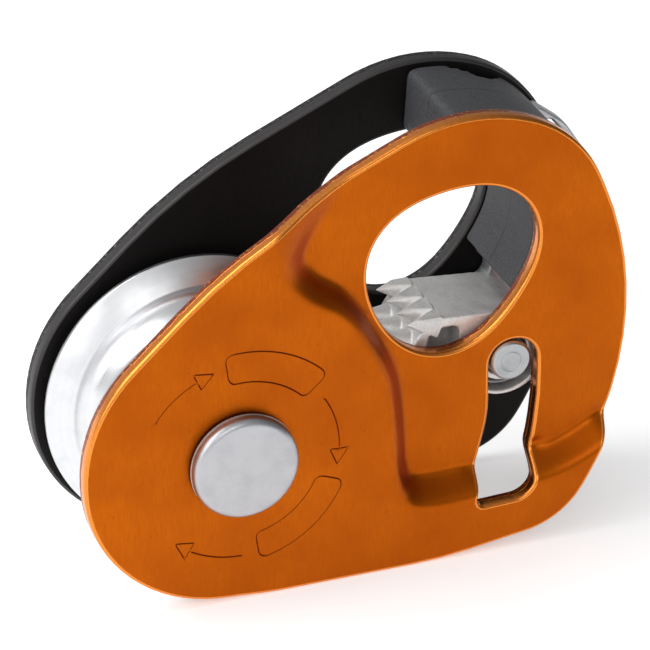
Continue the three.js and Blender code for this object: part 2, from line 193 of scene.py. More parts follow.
# Triangles between closed curves, the outer one first, with loose points and open or closed lines inside
def fillBetween(rings, loose, lines=()):
    parts = [*rings, loose, *lines]
    starts = np.cumsum([0, *[len(part) for part in parts]])
    edges = [np.stack([np.arange(len(r)), (np.arange(len(r)) + 1) % len(r)], axis=1) + s
             for r, s in zip(rings, starts)]
    edges += [np.stack([np.arange(len(r) - 1), np.arange(1, len(r))], axis=1) + s
              for r, s in zip(lines, starts[len(rings) + 1:])]
    points = np.concatenate(parts)
    made = delaunay_2d_cdt([Vector(p) for p in points.tolist()], np.concatenate(edges).tolist(), [], 0, 1e-7)
    points = np.array([tuple(p) for p in made[0]])
    triangles = np.array(made[2])
    middle = points[triangles].mean(axis=1)
    wanted = inside(middle, rings[0])
    for ring in rings[1:]:
        wanted &= ~inside(middle, ring)
    triangles = triangles[wanted]
    a, b, c = (points[triangles[:, i]] for i in range(3))
    area = (b - a)[:, 0] * (c - a)[:, 1] - (b - a)[:, 1] * (c - a)[:, 0]
    triangles[area < 0] = triangles[area < 0][:, ::-1]
    return points, triangles[np.abs(area) > 1e-9]


# Sheet shell: y = front(x, z) + depth. The edge rows (inset, depth) are carried along every curve, and a
# triangle net closes each side. It gives points, faces, the share of the depth and which faces are walls.
def sheetShell(outer, holes, edge, front, spacing, lines=()):
    loops = [outer, *[hole[::-1] for hole in holes]]
    rows = [[loop - outward(loop) * inset for loop in loops] for inset, _ in edge]
    low, high = outer.min(axis=0), outer.max(axis=0)
    across = np.arange(low[0], high[0], spacing)
    gridX, gridZ = np.meshgrid(across, np.arange(low[1], high[1], spacing * 0.87))
    gridX = gridX + (np.arange(len(gridX)) % 2)[:, None] * spacing / 2
    loose = np.stack([gridX.ravel(), gridZ.ravel()], axis=1)
    loose = loose[inside(loose, outer)]
    for hole in holes:
        loose = loose[~inside(loose, hole)]
    keepAway = np.concatenate([*rows[0], *rows[-1]])
    loose = loose[distanceTo(loose, keepAway) > spacing * 0.55]
    frontLoose = loose
    if len(lines):
        frontLoose = loose[distanceTo(loose, np.concatenate(lines)) > spacing * 0.35]
    frontPoints, frontFaces = fillBetween(rows[0], frontLoose, lines)
    backPoints, backFaces = fillBetween(rows[-1], loose)
    ringSize = sum(len(loop) for loop in loops)
    middleRows = [np.concatenate(row) for row in rows[1:-1]]
    flat = np.concatenate([frontPoints, *middleRows, backPoints])
    depth = np.concatenate([
        np.full(len(frontPoints), edge[0][1]),
        *[np.full(ringSize, d) for _, d in edge[1:-1]],
        np.full(len(backPoints), edge[-1][1]),
    ])
    backStart = len(frontPoints) + ringSize * len(middleRows)
    rowStart = np.array([0, *[len(frontPoints) + ringSize * k for k in range(len(middleRows))], backStart])
    nextInLoop = np.concatenate([
        np.roll(np.arange(len(loop)), -1) + start
        for loop, start in zip(loops, np.cumsum([0, *[len(loop) for loop in loops[:-1]]]))
    ])
    here = np.arange(ringSize)
    walls = [np.stack([a + here, b + here, b + nextInLoop, a + nextInLoop], axis=1)
             for a, b in zip(rowStart[:-1], rowStart[1:])]
    walls = np.concatenate(walls)
    y = front(flat) + depth
    points = np.stack([flat[:, 0], y, flat[:, 1]], axis=1)
    faces = [*frontFaces.tolist(), *(backFaces[:, ::-1] + backStart).tolist(), *walls.tolist()]
    isWall = np.concatenate([np.zeros(len(frontFaces) + len(backFaces)), np.ones(len(walls))])
    return points, faces, depth / edge[-1][1], isWall


# Edge rows of a sheet of the given thickness: a quarter circle at the front, a wall, a small bevel behind
def edgeRows(thickness, roll, back, fracture=0.0, steps=6):
    angle = np.linspace(0, math.pi / 2, steps)
    rows = [(roll * (1 - math.sin(a)), roll * (1 - math.cos(a))) for a in angle]
    rows += [(0.0, thickness * 0.45), (0.0, thickness * 0.62), (fracture, thickness * 0.7)]
    behind = np.linspace(0, math.pi / 2, 4)
    rows += [(fracture + back * (1 - math.cos(a)), thickness - back * (1 - math.sin(a))) for a in behind]
    return rows


# Solid of revolution round a line along y: point = (x + r cos a, y, z + r sin a)
def turnedShell(profile, x=0.0, z=0.0, segments=128, closed=True):
    profile = np.asarray(profile, float)
    angle = np.linspace(0, 2 * math.pi, segments, endpoint=False)
    radius, y = profile[:, 0, None], profile[:, 1, None]
    grid = np.stack([x + radius * np.cos(angle), y + 0 * angle, z + radius * np.sin(angle)], axis=2)
    rows = len(profile)
    index = np.arange(rows * segments).reshape(rows, segments)
    below = index if closed else index[:-1]
    above = np.roll(index, -1, axis=0) if closed else index[1:]
    faces = np.stack([below, above, np.roll(above, -1, axis=1), np.roll(below, -1, axis=1)], axis=2)
    return grid.reshape(-1, 3), faces.reshape(-1, 4).tolist()


def turnedPiece(name, corners, material, closed=True, x=0.0, z=0.0, segments=128):
    profile = roundedPath(corners, closed=closed, stepDegrees=15)
    points, faces = turnedShell(profile, x, z, segments, closed)
    return newPiece(name, points, faces, [material])


# Several closed shells made into one skin, with softened edges
def fusedPiece(name, shells, voxel, smoothing, materials):
    starts = np.cumsum([0, *[len(points) for points, _ in shells]])
    points = np.concatenate([p for p, _ in shells])
    faces = [[i + start for i in face] for (_, f), start in zip(shells, starts) for face in f]
    rough = newPiece(name + "_rough", points, faces, [])
    remesh = rough.modifiers.new("skin", "REMESH")
    remesh.mode = "VOXEL"
    remesh.voxel_size = voxel * mm
    remesh.use_smooth_shade = True
    smooth = rough.modifiers.new("soften", "SMOOTH")
    smooth.factor = 0.5
    smooth.iterations = smoothing
    evaluated = rough.evaluated_get(bpy.context.evaluated_depsgraph_get())
    mesh = bpy.data.meshes.new_from_object(evaluated)
    bpy.data.objects.remove(rough)
    mesh.name = name
    mesh.materials.clear()
    for material in materials:
        mesh.materials.append(material)
    piece = bpy.data.objects.new(name, mesh)
    bpy.context.scene.collection.objects.link(piece)
    return piece


# Materials

def add(tree, kind, inputs=None, **settings):
    node = tree.nodes.new("ShaderNode" + kind)
    for key, value in settings.items():
        setattr(node, key, value)
    for key, value in (inputs or {}).items():
        if isinstance(value, bpy.types.NodeSocket):
            tree.links.new(value, node.inputs[key])
        else:
            node.inputs[key].default_value = value
    return node


def srgb(red, green, blue):
    value = np.array((red, green, blue)) / 255
    linear = np.where(value <= 0.04045, value / 12.92, ((value + 0.055) / 1.055) ** 2.4)
    return (*linear.tolist(), 1.0)


def newMaterial(name, metallic=1.0, **constants):
    material = bpy.data.materials.new(name)
    material.use_nodes = True
    tree = material.node_tree
    shader = tree.nodes["Principled BSDF"]
    shader.inputs["Metallic"].default_value = metallic
    for key, value in constants.items():
        shader.inputs[key.replace("_", " ")].default_value = value
    return material, tree, shader


# Link a value to a shader's socket
def plug(shader, name, value):
    shader.id_data.links.new(value, shader.inputs[name])


def objectPoint(tree):
    centred = add(tree, "Mapping", {"Vector": add(tree, "TexCoord").outputs["Object"],
                                    "Location": tuple(-axle)})
    return centred.outputs["Vector"]


# Vector stretched by a factor along each axis
def stretched(tree, vector, factors):
    return add(tree, "VectorMath", {0: vector, 1: factors}, operation="MULTIPLY").outputs[0]


# Distance from the axle line and the y place, so that a pattern forms rings round the axle
def turnedPoint(tree, vector, centre=(0.0, 0.0)):
    moved = add(tree, "VectorMath", {0: vector, 1: (centre[0] * mm, 0, centre[1] * mm)}, operation="SUBTRACT")
    flat = add(tree, "VectorMath", {0: moved.outputs[0], 1: (1, 0, 1)}, operation="MULTIPLY")
    radius = add(tree, "VectorMath", {0: flat.outputs[0]}, operation="LENGTH")
    split = add(tree, "SeparateXYZ", {0: moved.outputs[0]})
    return add(tree, "CombineXYZ", {0: radius.outputs["Value"], 1: split.outputs[1]}).outputs[0]


# Noise whose features are about the given size in millimetres
def noise(tree, vector, size, detail=3.0, roughness=0.55):
    inputs = {"Vector": vector, "Scale": 1 / (size * mm), "Detail": detail, "Roughness": roughness}
    return add(tree, "TexNoise", inputs).outputs[0]


def remap(tree, value, low, high, toLow, toHigh):
    inputs = {0: value, 1: low, 2: high, 3: toLow, 4: toHigh}
    return add(tree, "MapRange", inputs).outputs[0]


def blended(tree, share, first, second, mode="MIX"):
    return add(tree, "MixRGB", {0: share, 1: first, 2: second}, blend_type=mode).outputs[0]


def bump(tree, height, depth, below=None):
    inputs = {"Height": height, "Distance": depth * mm, "Strength": 1.0}
    if below is not None:
        inputs["Normal"] = below
    return add(tree, "Bump", inputs).outputs[0]


# Dyed anodised sheet: rolled grain up the sheet, fine specks, a few handling marks, engraved lines darker
def anodisedFace(name, base, dark, speck, roughness, coat=0.0, metallic=1.0):
    material, tree, shader = newMaterial(name, metallic, Coat_Weight=coat, Coat_Roughness=0.25)
    at = objectPoint(tree)
    grain = noise(tree, stretched(tree, at, (1, 1, 0.16)), 0.22, 4)
    cloud = noise(tree, at, 9, 2)
    specks = noise(tree, at, 0.34, 2)
    colour = blended(tree, remap(tree, cloud, 0.3, 0.7, 0, 1), base, dark)
    colour = blended(tree, remap(tree, grain, 0.35, 0.75, 0, 0.5), colour, dark)
    colour = blended(tree, remap(tree, specks, 0.7, 0.78, 0, 0.55), colour, speck)
    mark = add(tree, "Attribute", attribute_name="mark").outputs["Fac"]
    colour = blended(tree, remap(tree, mark, 0.1, 0.9, 0, 0.85), colour, speck)
    plug(shader, "Base Color", colour)
    plug(shader, "Roughness", remap(tree, grain, 0.3, 0.7, roughness - 0.05, roughness + 0.07))
    plug(shader, "Normal", bump(tree, specks, 0.008, bump(tree, grain, 0.01)))
    return material


# Punched edge of a sheet: a burnished band in front, painted lighter as a highlight, torn metal behind with
# pale flecks (scuffs on the black edge, painted glints on the orange one), and a burr line that is a painted
# highlight
def punchedEdge(name, burnishedWithHighlight, torn, scuffsAndGlints, burrHighlight, roughness, coat=0.0, metallic=1.0):
    material, tree, shader = newMaterial(name, metallic, Coat_Weight=coat, Coat_Roughness=0.2)
    at = objectPoint(tree)
    depth = add(tree, "Attribute", attribute_name="depth").outputs["Fac"]
    streaks = noise(tree, stretched(tree, at, (1, 0.12, 1)), 0.16, 4)
    lumps = noise(tree, stretched(tree, at, (1, 1.6, 1)), 0.45, 5, 0.7)
    wander = noise(tree, at, 2.4, 2)
    tornShare = add(tree, "Math", {0: depth, 1: remap(tree, wander, 0.3, 0.7, -0.08, 0.08)}).outputs[0]
    share = remap(tree, tornShare, 0.56, 0.62, 0, 1)
    # Flecks on the torn band: real scuffs on the black edge, painted glints on the orange one
    tornColour = blended(tree, remap(tree, lumps, 0.56, 0.66, 0, 1), torn, scuffsAndGlints)
    # The front band is burnished metal, painted lighter as a highlight along the rolled edge
    colour = blended(tree, share, burnishedWithHighlight, tornColour)
    colour = blended(tree, remap(tree, streaks, 0.5, 0.75, 0, 0.35), colour, torn)
    # Thin pale line near the back: a painted highlight along the burr
    colour = blended(tree, remap(tree, depth, 0.93, 0.97, 0, 0.8), colour, burrHighlight)
    plug(shader, "Base Color", colour)
    plug(shader, "Roughness", remap(tree, share, 0, 1, roughness, roughness + 0.2))
    height = add(tree, "Math", {0: lumps, 1: share}, operation="MULTIPLY").outputs[0]
    plug(shader, "Normal", bump(tree, height, 0.12, bump(tree, streaks, 0.012)))
    return material


# Metal turned on a lathe: fine rings round the axis, soft blotches of wear and a few dots
def turnedMetal(name, base, dark, roughness, ringSize=0.14, ringDepth=0.002, centre=(0.0, 0.0)):
    material, tree, shader = newMaterial(name)
    at = objectPoint(tree)
    rings = noise(tree, turnedPoint(tree, at, centre), ringSize, 5, 0.7)
    broad = noise(tree, turnedPoint(tree, at, centre), ringSize * 9, 2)
    blotches = noise(tree, at, 2.2, 5)
    colour = blended(tree, remap(tree, rings, 0.35, 0.7, 0, 0.4), base, dark)
    colour = blended(tree, remap(tree, blotches, 0.5, 0.75, 0, 0.35), colour, dark)
    plug(shader, "Base Color", colour)
    mixed = add(tree, "Math", {0: broad, 1: blotches}).outputs[0]
    plug(shader, "Roughness", remap(tree, mixed, 0.7, 1.3, roughness - 0.06, roughness + 0.08))
    plug(shader, "Normal", bump(tree, rings, ringDepth))
    return material


# Satin, blasted or cast metal: an even grain of the given size, stains and small bright rubs
def grainedMetal(name, base, dark, roughness, grainSize, grainDepth, stainSize=2.5, metallic=1.0):
    material, tree, shader = newMaterial(name, metallic)
    at = objectPoint(tree)
    grain = noise(tree, at, grainSize, 4, 0.65)
    stain = noise(tree, at, stainSize, 5)
    scratch = noise(tree, stretched(tree, at, (0.25, 1, 1.8)), grainSize * 3, 3)
    colour = blended(tree, remap(tree, stain, 0.45, 0.72, 0, 0.5), base, dark)
    colour = blended(tree, remap(tree, grain, 0.45, 0.8, 0, 0.6), colour, dark)
    plug(shader, "Base Color", colour)
    plug(shader, "Roughness", remap(tree, scratch, 0.3, 0.7, roughness - 0.06, roughness + 0.08))
    plug(shader, "Normal", bump(tree, grain, grainDepth))
    return material


# Moulded plastic or rubber: matt, with a fine spark-eroded grain, paler where handled
def moulded(name, base, pale, roughness, grainSize, grainDepth, partingY=None):
    material, tree, shader = newMaterial(name, 0.0)
    at = objectPoint(tree)
    grain = noise(tree, at, grainSize, 5, 0.7)
    rub = noise(tree, at, 3.5, 5, 0.65)
    colour = blended(tree, remap(tree, grain, 0.35, 0.75, 0, 0.55), base, pale)
    dust = add(tree, "Math", {0: remap(tree, rub, 0.5, 0.8, 0, 1), 1: remap(tree, grain, 0.5, 0.7, 0, 1)},
               operation="MULTIPLY").outputs[0]
    colour = blended(tree, dust, colour, pale)
    normal = bump(tree, grain, grainDepth)
    if partingY is not None:
        split = add(tree, "SeparateXYZ", {0: at}).outputs[1]
        away = add(tree, "Math", {0: split, 1: partingY * mm}, operation="SUBTRACT").outputs[0]
        away = add(tree, "Math", {0: away}, operation="ABSOLUTE").outputs[0]
        line = remap(tree, away, 0.02 * mm, 0.09 * mm, 1, 0)
        colour = blended(tree, line, colour, srgb(20, 20, 22))
        normal = bump(tree, remap(tree, line, 0, 1, 1, 0), 0.05, normal)
    plug(shader, "Base Color", colour)
    plug(shader, "Roughness", remap(tree, grain, 0.3, 0.7, roughness - 0.08, roughness + 0.08))
    plug(shader, "Normal", normal)
    return material


orangeFace = anodisedFace("orange_anodised_face", srgb(192, 95, 6), srgb(174, 80, 3), srgb(96, 32, 3), 0.38,
                          coat=0.06)
# Orange edge: the golden front band is a painted highlight on burnished metal, the golden flecks are painted
# glints and the pink burr line is a painted highlight
orangeEdge = punchedEdge("orange_punched_edge", srgb(232, 140, 54), srgb(146, 58, 18), srgb(255, 190, 90),
                         srgb(255, 170, 120), 0.26, coat=0.25)
blackFace = anodisedFace("black_anodised_face", srgb(24, 21, 20), srgb(16, 14, 13), srgb(52, 48, 46), 0.6,
                         metallic=0.7)
# Black edge: the paler front band is partly a painted highlight, the pale flecks are scuffs and the pale burr
# line is a painted highlight
blackEdge = punchedEdge("black_punched_edge", srgb(60, 58, 58), srgb(36, 34, 34), srgb(150, 148, 146),
                        srgb(160, 150, 142), 0.42, metallic=0.5)
turnedAluminium = turnedMetal("turned_aluminium", srgb(226, 227, 229), srgb(196, 198, 202), 0.33)
satinSteel = grainedMetal("satin_steel", srgb(190, 191, 194), srgb(166, 168, 172), 0.36, 0.12, 0.002)
pinSteel = turnedMetal("pin_steel", srgb(184, 187, 189), srgb(136, 138, 140), 0.38, 0.22, 0.006,
                       drawing["pin"])
leverSteel = grainedMetal("lever_steel", srgb(206, 207, 209), srgb(186, 188, 191), 0.5, 0.18, 0.004)
castSteel = grainedMetal("cast_steel", srgb(232, 233, 232), srgb(178, 176, 172), 0.46, 0.2, 0.02,
                         metallic=0.6)
bearingSteel = turnedMetal("bearing_steel", srgb(222, 224, 228), srgb(180, 182, 186), 0.14, 0.1, 0.0008)
springSteel = grainedMetal("spring_steel", srgb(150, 152, 156), srgb(96, 94, 92), 0.34, 0.1, 0.003)
cageBrass = grainedMetal("cage_brass", srgb(205, 162, 92), srgb(150, 108, 52), 0.32, 0.12, 0.003)
blackPlastic = moulded("black_plastic", srgb(18, 18, 20), srgb(118, 120, 126), 0.58, 0.16, 0.04, 1.2)
sealRubber = moulded("seal_rubber", srgb(22, 22, 24), srgb(54, 54, 58), 0.6, 0.1, 0.01)
print("materials made:", len(bpy.data.materials))

# Plates

plates = {
    "outline": [
        [-18.4, -16.4, 17.5], [4, -18, 40], [24.5, -18, 50], [40, -15.7, 10],
        [53.4, 7, 40], [42.3, 33.3, 15.5], [28.1, 38.5, 20], [0, 25.8, 58], [-19, 8.2, 18.6],
    ],
    "slot": [
        [28.8, -11.95, 0.8], [36, -11.65, 2.7], [37.6, 0, 40], [37.4, 7.7, 2.9],
        [31.4, 7.7, 2.9], [31.5, -1.6, 16], [30.3, -6.4, 14],
    ],
    "stepTop": [
        [-3, 36], [2.2, 30.5], [4.4, 25.5], [5.4, 21.6], [8, 18.9], [11.6, 16.7], [14, 14.2], [15.4, 11.6],
        [16.8, 8.6], [17.8, 5.6], [18.3, 2], [18.6, -2.4], [18.9, -6.4], [20.2, -9.7], [23.6, -10.6],
        [30, -10.4], [39.2, -9.5], [46.8, -6.2], [54, -3],
    ],
    "stepFoot": [
        [17, 40], [14.4, 32.5], [10.6, 27], [8.7, 23.3], [10.2, 20.6], [13.2, 18.2], [15.4, 15.4],
        [16.9, 12.9], [18.5, 10.2], [19.8, 7], [20.5, 2.6], [20.8, -2], [21, -5.4], [21.9, -7.6],
        [24.2, -8.1], [30, -7.9], [38.8, -7], [45.9, -3.8], [53, -0.6],
    ],
    "spacing": 0.5, "gridStep": 0.25, "bendReach": 0.45,
    "puckers": [[45.7, -4.2, 0.9, 0.55], [37.5, -6.6, 0.8, 0.35], [29.2, -8.3, 0.8, 0.3]],
    "rivets": [[29.6, 32.4], [37.2, 30.6]],
}
plateLoop = evenly(roundedPath(plates["outline"]), 0.5)
slotLoop = evenly(roundedPath(plates["slot"]), 0.35)


# Pressed step: y goes from the raised to the near level as 1 - (1 - t^1.7)^1.25, where t is the share of the
# way from the upper bend line to the lower one, and a running mean over the grid rounds both bends. Where the
# fold meets an edge the sheet is drawn in a little, as depth * exp(-(distance / radius)^2).
def pressedLevel():
    top, foot = throughPoints(plates["stepTop"]), throughPoints(plates["stepFoot"])
    step = plates["gridStep"]
    x, z = np.arange(-24, 60, step), np.arange(-24, 48, step)
    grid = np.stack([a.ravel() for a in np.meshgrid(x, z, indexing="ij")], axis=1)
    raised = inside(grid, np.concatenate([top, [[90, -60], [-60, -60], [-60, 80]]]))
    near = inside(grid, np.concatenate([foot[::-1], [[40, 80], [90, 80], [90, 0]]]))
    toTop, toFoot = distanceTo(grid, top), distanceTo(grid, foot)
    share = np.where(raised, 0, np.where(near, 1, toTop / (toTop + toFoot)))
    share = 1 - (1 - share**1.7) ** 1.25
    share = share.reshape(len(x), len(z))
    width = round(plates["bendReach"] / step)
    weights = np.hanning(2 * width + 3)[1:-1]
    weights /= weights.sum()
    for axis in (0, 1):
        share = sum(w * np.roll(share, s, axis=axis) for w, s in zip(weights, range(-width, width + 1)))

    def level(points):
        at = (points - (x[0], z[0])) / step
        i = np.clip(at.astype(int), 0, np.array(share.shape) - 2)
        u, v = (at - i).T
        i, k = i.T
        low = share[i, k] * (1 - u) + share[i + 1, k] * u
        high = share[i, k + 1] * (1 - u) + share[i + 1, k + 1] * u
        blend = low * (1 - v) + high * v
        pucker = sum(d * np.exp(-((points[:, 0] - px)**2 + (points[:, 1] - pz)**2) / r**2)
                     for px, pz, r, d in plates["puckers"])
        return drawing["raised"] + (drawing["near"] - drawing["raised"]) * blend + pucker

    return level


# Engraved marks round the axle, turning clockwise: bars as (start, end, inner, outer) and arrows as
# (start, end, radius), with angles in degrees
def engravedMarks():
    marks = {"bars": [(98, 42, 10.2, 14.0), (-21, -81, 9.7, 13.2)],
             "arrows": [(145, 115, 12.4), (32, -2.5, 11.8), (-91, -122, 12.2)],
             "head": 1.15, "headLength": 10}
    lines = []
    for start, end, inner, outer in marks["bars"]:
        middle = (inner + outer) / 2
        u0, u1 = np.radians(start) * middle, np.radians(end) * middle
        corners = [[u0, inner, 0.9], [u0, outer, 0.9], [u1, outer, 0.9], [u1, inner, 0.9]]
        bar = evenly(roundedPath(corners), 0.3)
        bar = np.concatenate([bar, bar[:1]])
        angle = bar[:, 0] / middle
        lines.append(bar[:, 1, None] * np.stack([np.cos(angle), np.sin(angle)], axis=1))
    for start, end, radius in marks["arrows"]:
        angle = np.radians(np.linspace(start, end, 24))
        lines.append(radius * np.stack([np.cos(angle), np.sin(angle)], axis=1))
        tip = np.radians(end - marks["headLength"])
        base = np.radians(end)
        radii = np.array([radius + marks["head"], radius, radius - marks["head"]])
        angles = np.array([base, tip, base])
        head = radii[:, None] * np.stack([np.cos(angles), np.sin(angles)], axis=1)
        lines.append(evenly(np.concatenate([head, head[:1]]), 0.3, closed=False))
    return lines


# Three lines side by side for each mark: its two rims and its floor
def withRims(line, width):
    along = np.gradient(line, axis=0)
    along /= np.linalg.norm(along, axis=1)[:, None]
    side = np.stack([along[:, 1], -along[:, 0]], axis=1) * width / 2
    return [line - side, line, line + side]


engraving = {"width": 0.2, "depth": 0.09}
markLines = engravedMarks()
markPoints = np.concatenate(markLines)
level = pressedLevel()


def markShare(points):
    return np.clip(1 - distanceTo(points, markPoints) / (engraving["width"] / 2), 0, 1)


frontHoles = [holeLoop(), slotLoop, circleLoop(0, 0, drawing["axleBore"])]
rims = [line for mark in markLines for line in withRims(mark, engraving["width"])]
frontEdge = edgeRows(drawing["sheet"], 0.42, 0.22, 0.05)
points, faces, depth, walls = sheetShell(plateLoop, frontHoles, frontEdge, level, plates["spacing"], rims)
mark = markShare(points[:, ::2]) * (depth == 0)
points[:, 1] += mark * engraving["depth"]
frontPlate = newPiece("side_plate_front", points, faces, [orangeFace, orangeEdge], walls,
                      {"depth": depth, "mark": mark})
standFor(frontPlate, "side_plate", "orange_anodised", "front_plate")
print("front plate:", len(faces), "faces")

pinBore = circleLoop(*drawing["pin"], drawing["pinBore"])
backHoles = [holeLoop(), circleLoop(0, 0, drawing["axleBore"]), pinBore]
backHoles += [circleLoop(x, z, 1.8) for x, z in plates["rivets"]]
backEdge = edgeRows(drawing["backOuter"] - drawing["backInner"], 0.35, 0.35, 0.04)
points, faces, depth, walls = sheetShell(
    plateLoop, backHoles, backEdge, lambda p: np.full(len(p), drawing["backInner"]), 1.0)
backPlate = newPiece("side_plate_back", points, faces, [blackFace, blackEdge], walls, {"depth": depth})
standFor(backPlate, "frame", "black_anodised", "back_plate")
print("back plate:", len(faces), "faces")

# Sheave and axle

wheel = {"rim": 17.7, "floor": 12.5, "flank": 15.0, "flankY": 4.4, "half": 7.3, "middle": -0.2, "bore": 9.8,
         "lip": 0.7, "round": 0.28}


# Half profile of the groove: the flank runs in from the lip, then y = -4.4 cos a, r = 15 - 2.5 sin a
def sheaveProfile():
    w = wheel
    angle = np.linspace(0, math.pi, 40)
    radius = w["flank"] - (w["flank"] - w["floor"]) * np.sin(angle)
    floor = np.stack([radius, -w["flankY"] * np.cos(angle)], axis=1)
    lip = [[w["bore"], -w["half"], 0.2], [w["rim"], -w["half"], w["round"]],
           [w["rim"], -w["half"] + w["lip"], w["round"]], [w["flank"] + 0.05, -w["flankY"] - 0.03, 0.0]]
    first = roundedPath(lip, closed=False, stepDegrees=12)
    start = np.array([[w["bore"], -w["half"] + 0.4], [w["bore"] + 0.25, -w["half"]]])
    half = np.concatenate([start, first[1:]])
    mirrored = half[::-1] * (1, -1)
    profile = np.concatenate([half, floor, mirrored])
    return profile + (0, w["middle"])


points, faces = turnedShell(sheaveProfile(), segments=240)
sheave = newPiece("grooved_sheave", points, faces, [turnedAluminium])
standFor(sheave, "wheel", "turned_aluminium", "sheave")

rivet = {"face": -13.1, "head": 6.4, "neck": 3.0, "seat": -11.4, "tail": 11.8}
headCorners = [
    [0, rivet["face"], 0], [rivet["head"] - 0.12, rivet["face"], 0.92], [rivet["head"], -11.86, 0.1],
    [rivet["head"] - 0.16, -11.82, 0.03], [rivet["head"] - 0.16, -11.66, 0.03], [rivet["head"], -11.62, 0.03],
    [rivet["head"], rivet["seat"], 0.08], [rivet["neck"], rivet["seat"], 0.1],
    [rivet["neck"], rivet["tail"], 0.3],
    [0, rivet["tail"], 0],
]
standFor(turnedPiece("axle_rivet_turned", headCorners, satinSteel, closed=False),
         "frame", "satin_steel", "axle_rivet")

tailCorners = [[3.3, 11.2, 0.05], [6.4, 11.2, 0.1], [6.4, 11.9, 0.3], [5.9, 12.4, 0.35], [3.6, 12.4, 0.2],
               [3.3, 12.1, 0.1]]
standFor(turnedPiece("rivet_tail_ring", tailCorners, satinSteel), "frame", "satin_steel", "back_rivet_head")

pin = {"front": -7.7, "radius": 2.5, "back": 11.2, "end": 12.2}
pinCorners = [
    [0, pin["front"], 0], [1.1, pin["front"], 0.05], [1.15, pin["front"] + 0.05, 0.02],
    [1.3, pin["front"] + 0.05, 0.02], [1.35, pin["front"], 0.05], [pin["radius"] - 0.32, pin["front"], 0.12],
    [pin["radius"], pin["front"] + 0.32, 0.12], [pin["radius"], pin["back"], 0.1],
    [pin["radius"] + 1.2, pin["back"], 0.1], [pin["radius"] + 1.2, pin["back"] + 0.6, 0.25],
    [pin["radius"] + 0.7, pin["end"], 0.3], [0, pin["end"], 0],
]
standFor(turnedPiece("cam_pin_turned", pinCorners, pinSteel, closed=False,
                     x=drawing["pin"][0], z=drawing["pin"][1]),
         "frame", "satin_steel", "cam_pin")
print("turned pieces made")

# Hub block

hub = {"inset": 0.7, "left": 27.0, "bottom": 11.4, "front": -5.6, "lever": 5.2, "back": 8.1, "corner": 1.6,
       "pocketAt": [37.29, 13.4], "pocketDegrees": 74.1, "pocketTop": 12.9, "notchDepth": 3.0,
       "overlap": 0.6, "holeFrom": 89, "holeTo": -36,
       "rivetFront": -2.1, "rivetRadius": 1.5, "rivetEnd": 10.8,
       "notches": {5.5: [35, 35.8, 36.4, 36.9], 6.1: [34.6, 35.5, 37, 37.6], 6.8: [33.6, 34.7, 37.8, 38.3],
                   7.4: [32.4, 33.8, 38.2, 38.7]}}


# Outline of the hub block: the plate's edge on the right, and the attachment hole's edge back again
def hubLoop():
    rim = grown(plateLoop, -hub["inset"])
    outer = rim[(rim[:, 0] > hub["left"]) & (rim[:, 1] > hub["bottom"] - 0.6)]
    holeX, holeZ = drawing["hole"]
    order = np.argsort(np.arctan2(outer[:, 1] - holeZ, outer[:, 0] - holeX))
    outer = outer[order]
    hole = holeLoop(0.3, 720)
    angle = np.degrees(np.arctan2(hole[:, 1] - holeZ, hole[:, 0] - holeX))
    keep = (angle < hub["holeFrom"]) & (angle > hub["holeTo"])
    inner = hole[keep][np.argsort(-angle[keep])]
    loop = evenly(np.concatenate([outer, inner]), 0.25)
    return softened(loop, hub["corner"], 0.25)


# Part of a loop on the left of the pocket line, which leans at the given angle beside the lever
def leftOfPocket(loop, notch=None):
    lean = math.radians(hub["pocketDegrees"])
    pocketX, pocketZ = hub["pocketAt"]
    side = (loop[:, 0] - pocketX) * math.sin(lean) - (loop[:, 1] - pocketZ) * math.cos(lean)
    first = np.flatnonzero((side < 0) & (np.roll(side, 1) >= 0))[0]
    loop, side = np.roll(loop, -first, axis=0), np.roll(side, -first)
    part = loop[(side < 0) & (loop[:, 1] > hub["pocketTop"])]
    if notch is not None:
        x = part[:, 0]
        sink = np.interp(x, notch, [0, hub["notchDepth"], hub["notchDepth"], 0])
        part = part - np.stack([0 * x, sink * (part[:, 1] > 30)], axis=1)
    corner = [pocketX + (hub["pocketTop"] - pocketZ) / math.tan(lean), hub["pocketTop"]]
    return softened(evenly(np.concatenate([part, [corner]]), 0.12), 0.25, 0.12)


def plainSlab(loop, holes, frontY, backY, spacing=1.2, bevel=0.1):
    edge = [(bevel, 0), (0, bevel), (0, backY - frontY - bevel), (bevel, backY - frontY)]
    points, faces, _, _ = sheetShell(loop, holes, edge, lambda p: np.full(len(p), frontY), spacing)
    return points, faces


outline = hubLoop()
shells = [
    plainSlab(outline, [], hub["front"], hub["lever"]),
    plainSlab(leftOfPocket(outline), [], hub["lever"] - 1, 5.6),
]
notchDepths = [*hub["notches"], hub["back"]]
shells += [plainSlab(leftOfPocket(outline, notch), [], start - hub["overlap"], end)
           for (start, notch), end in zip(hub["notches"].items(), notchDepths[1:])]
hubPiece = fusedPiece("hub_block_moulded", shells, 0.15, 6, [blackPlastic])
standFor(hubPiece, "frame", "black_plastic", "hub_block")
for number, (x, z) in enumerate(plates["rivets"], 1):
    front, radius, end = hub["rivetFront"], hub["rivetRadius"], hub["rivetEnd"]
    corners = [[0, front, 0], [radius, front, 0.1], [radius, end, 0.35], [0, end, 0]]
    name = f"hub_rivet_turned_{number}"
    piece = turnedPiece(name, corners, satinSteel, closed=False, x=x, z=z, segments=48)
    standFor(piece, "frame", "satin_steel", f"hub_rivet_{number}")
print("hub block:", len(hubPiece.data.polygons), "faces")

# Cam, lever and spring

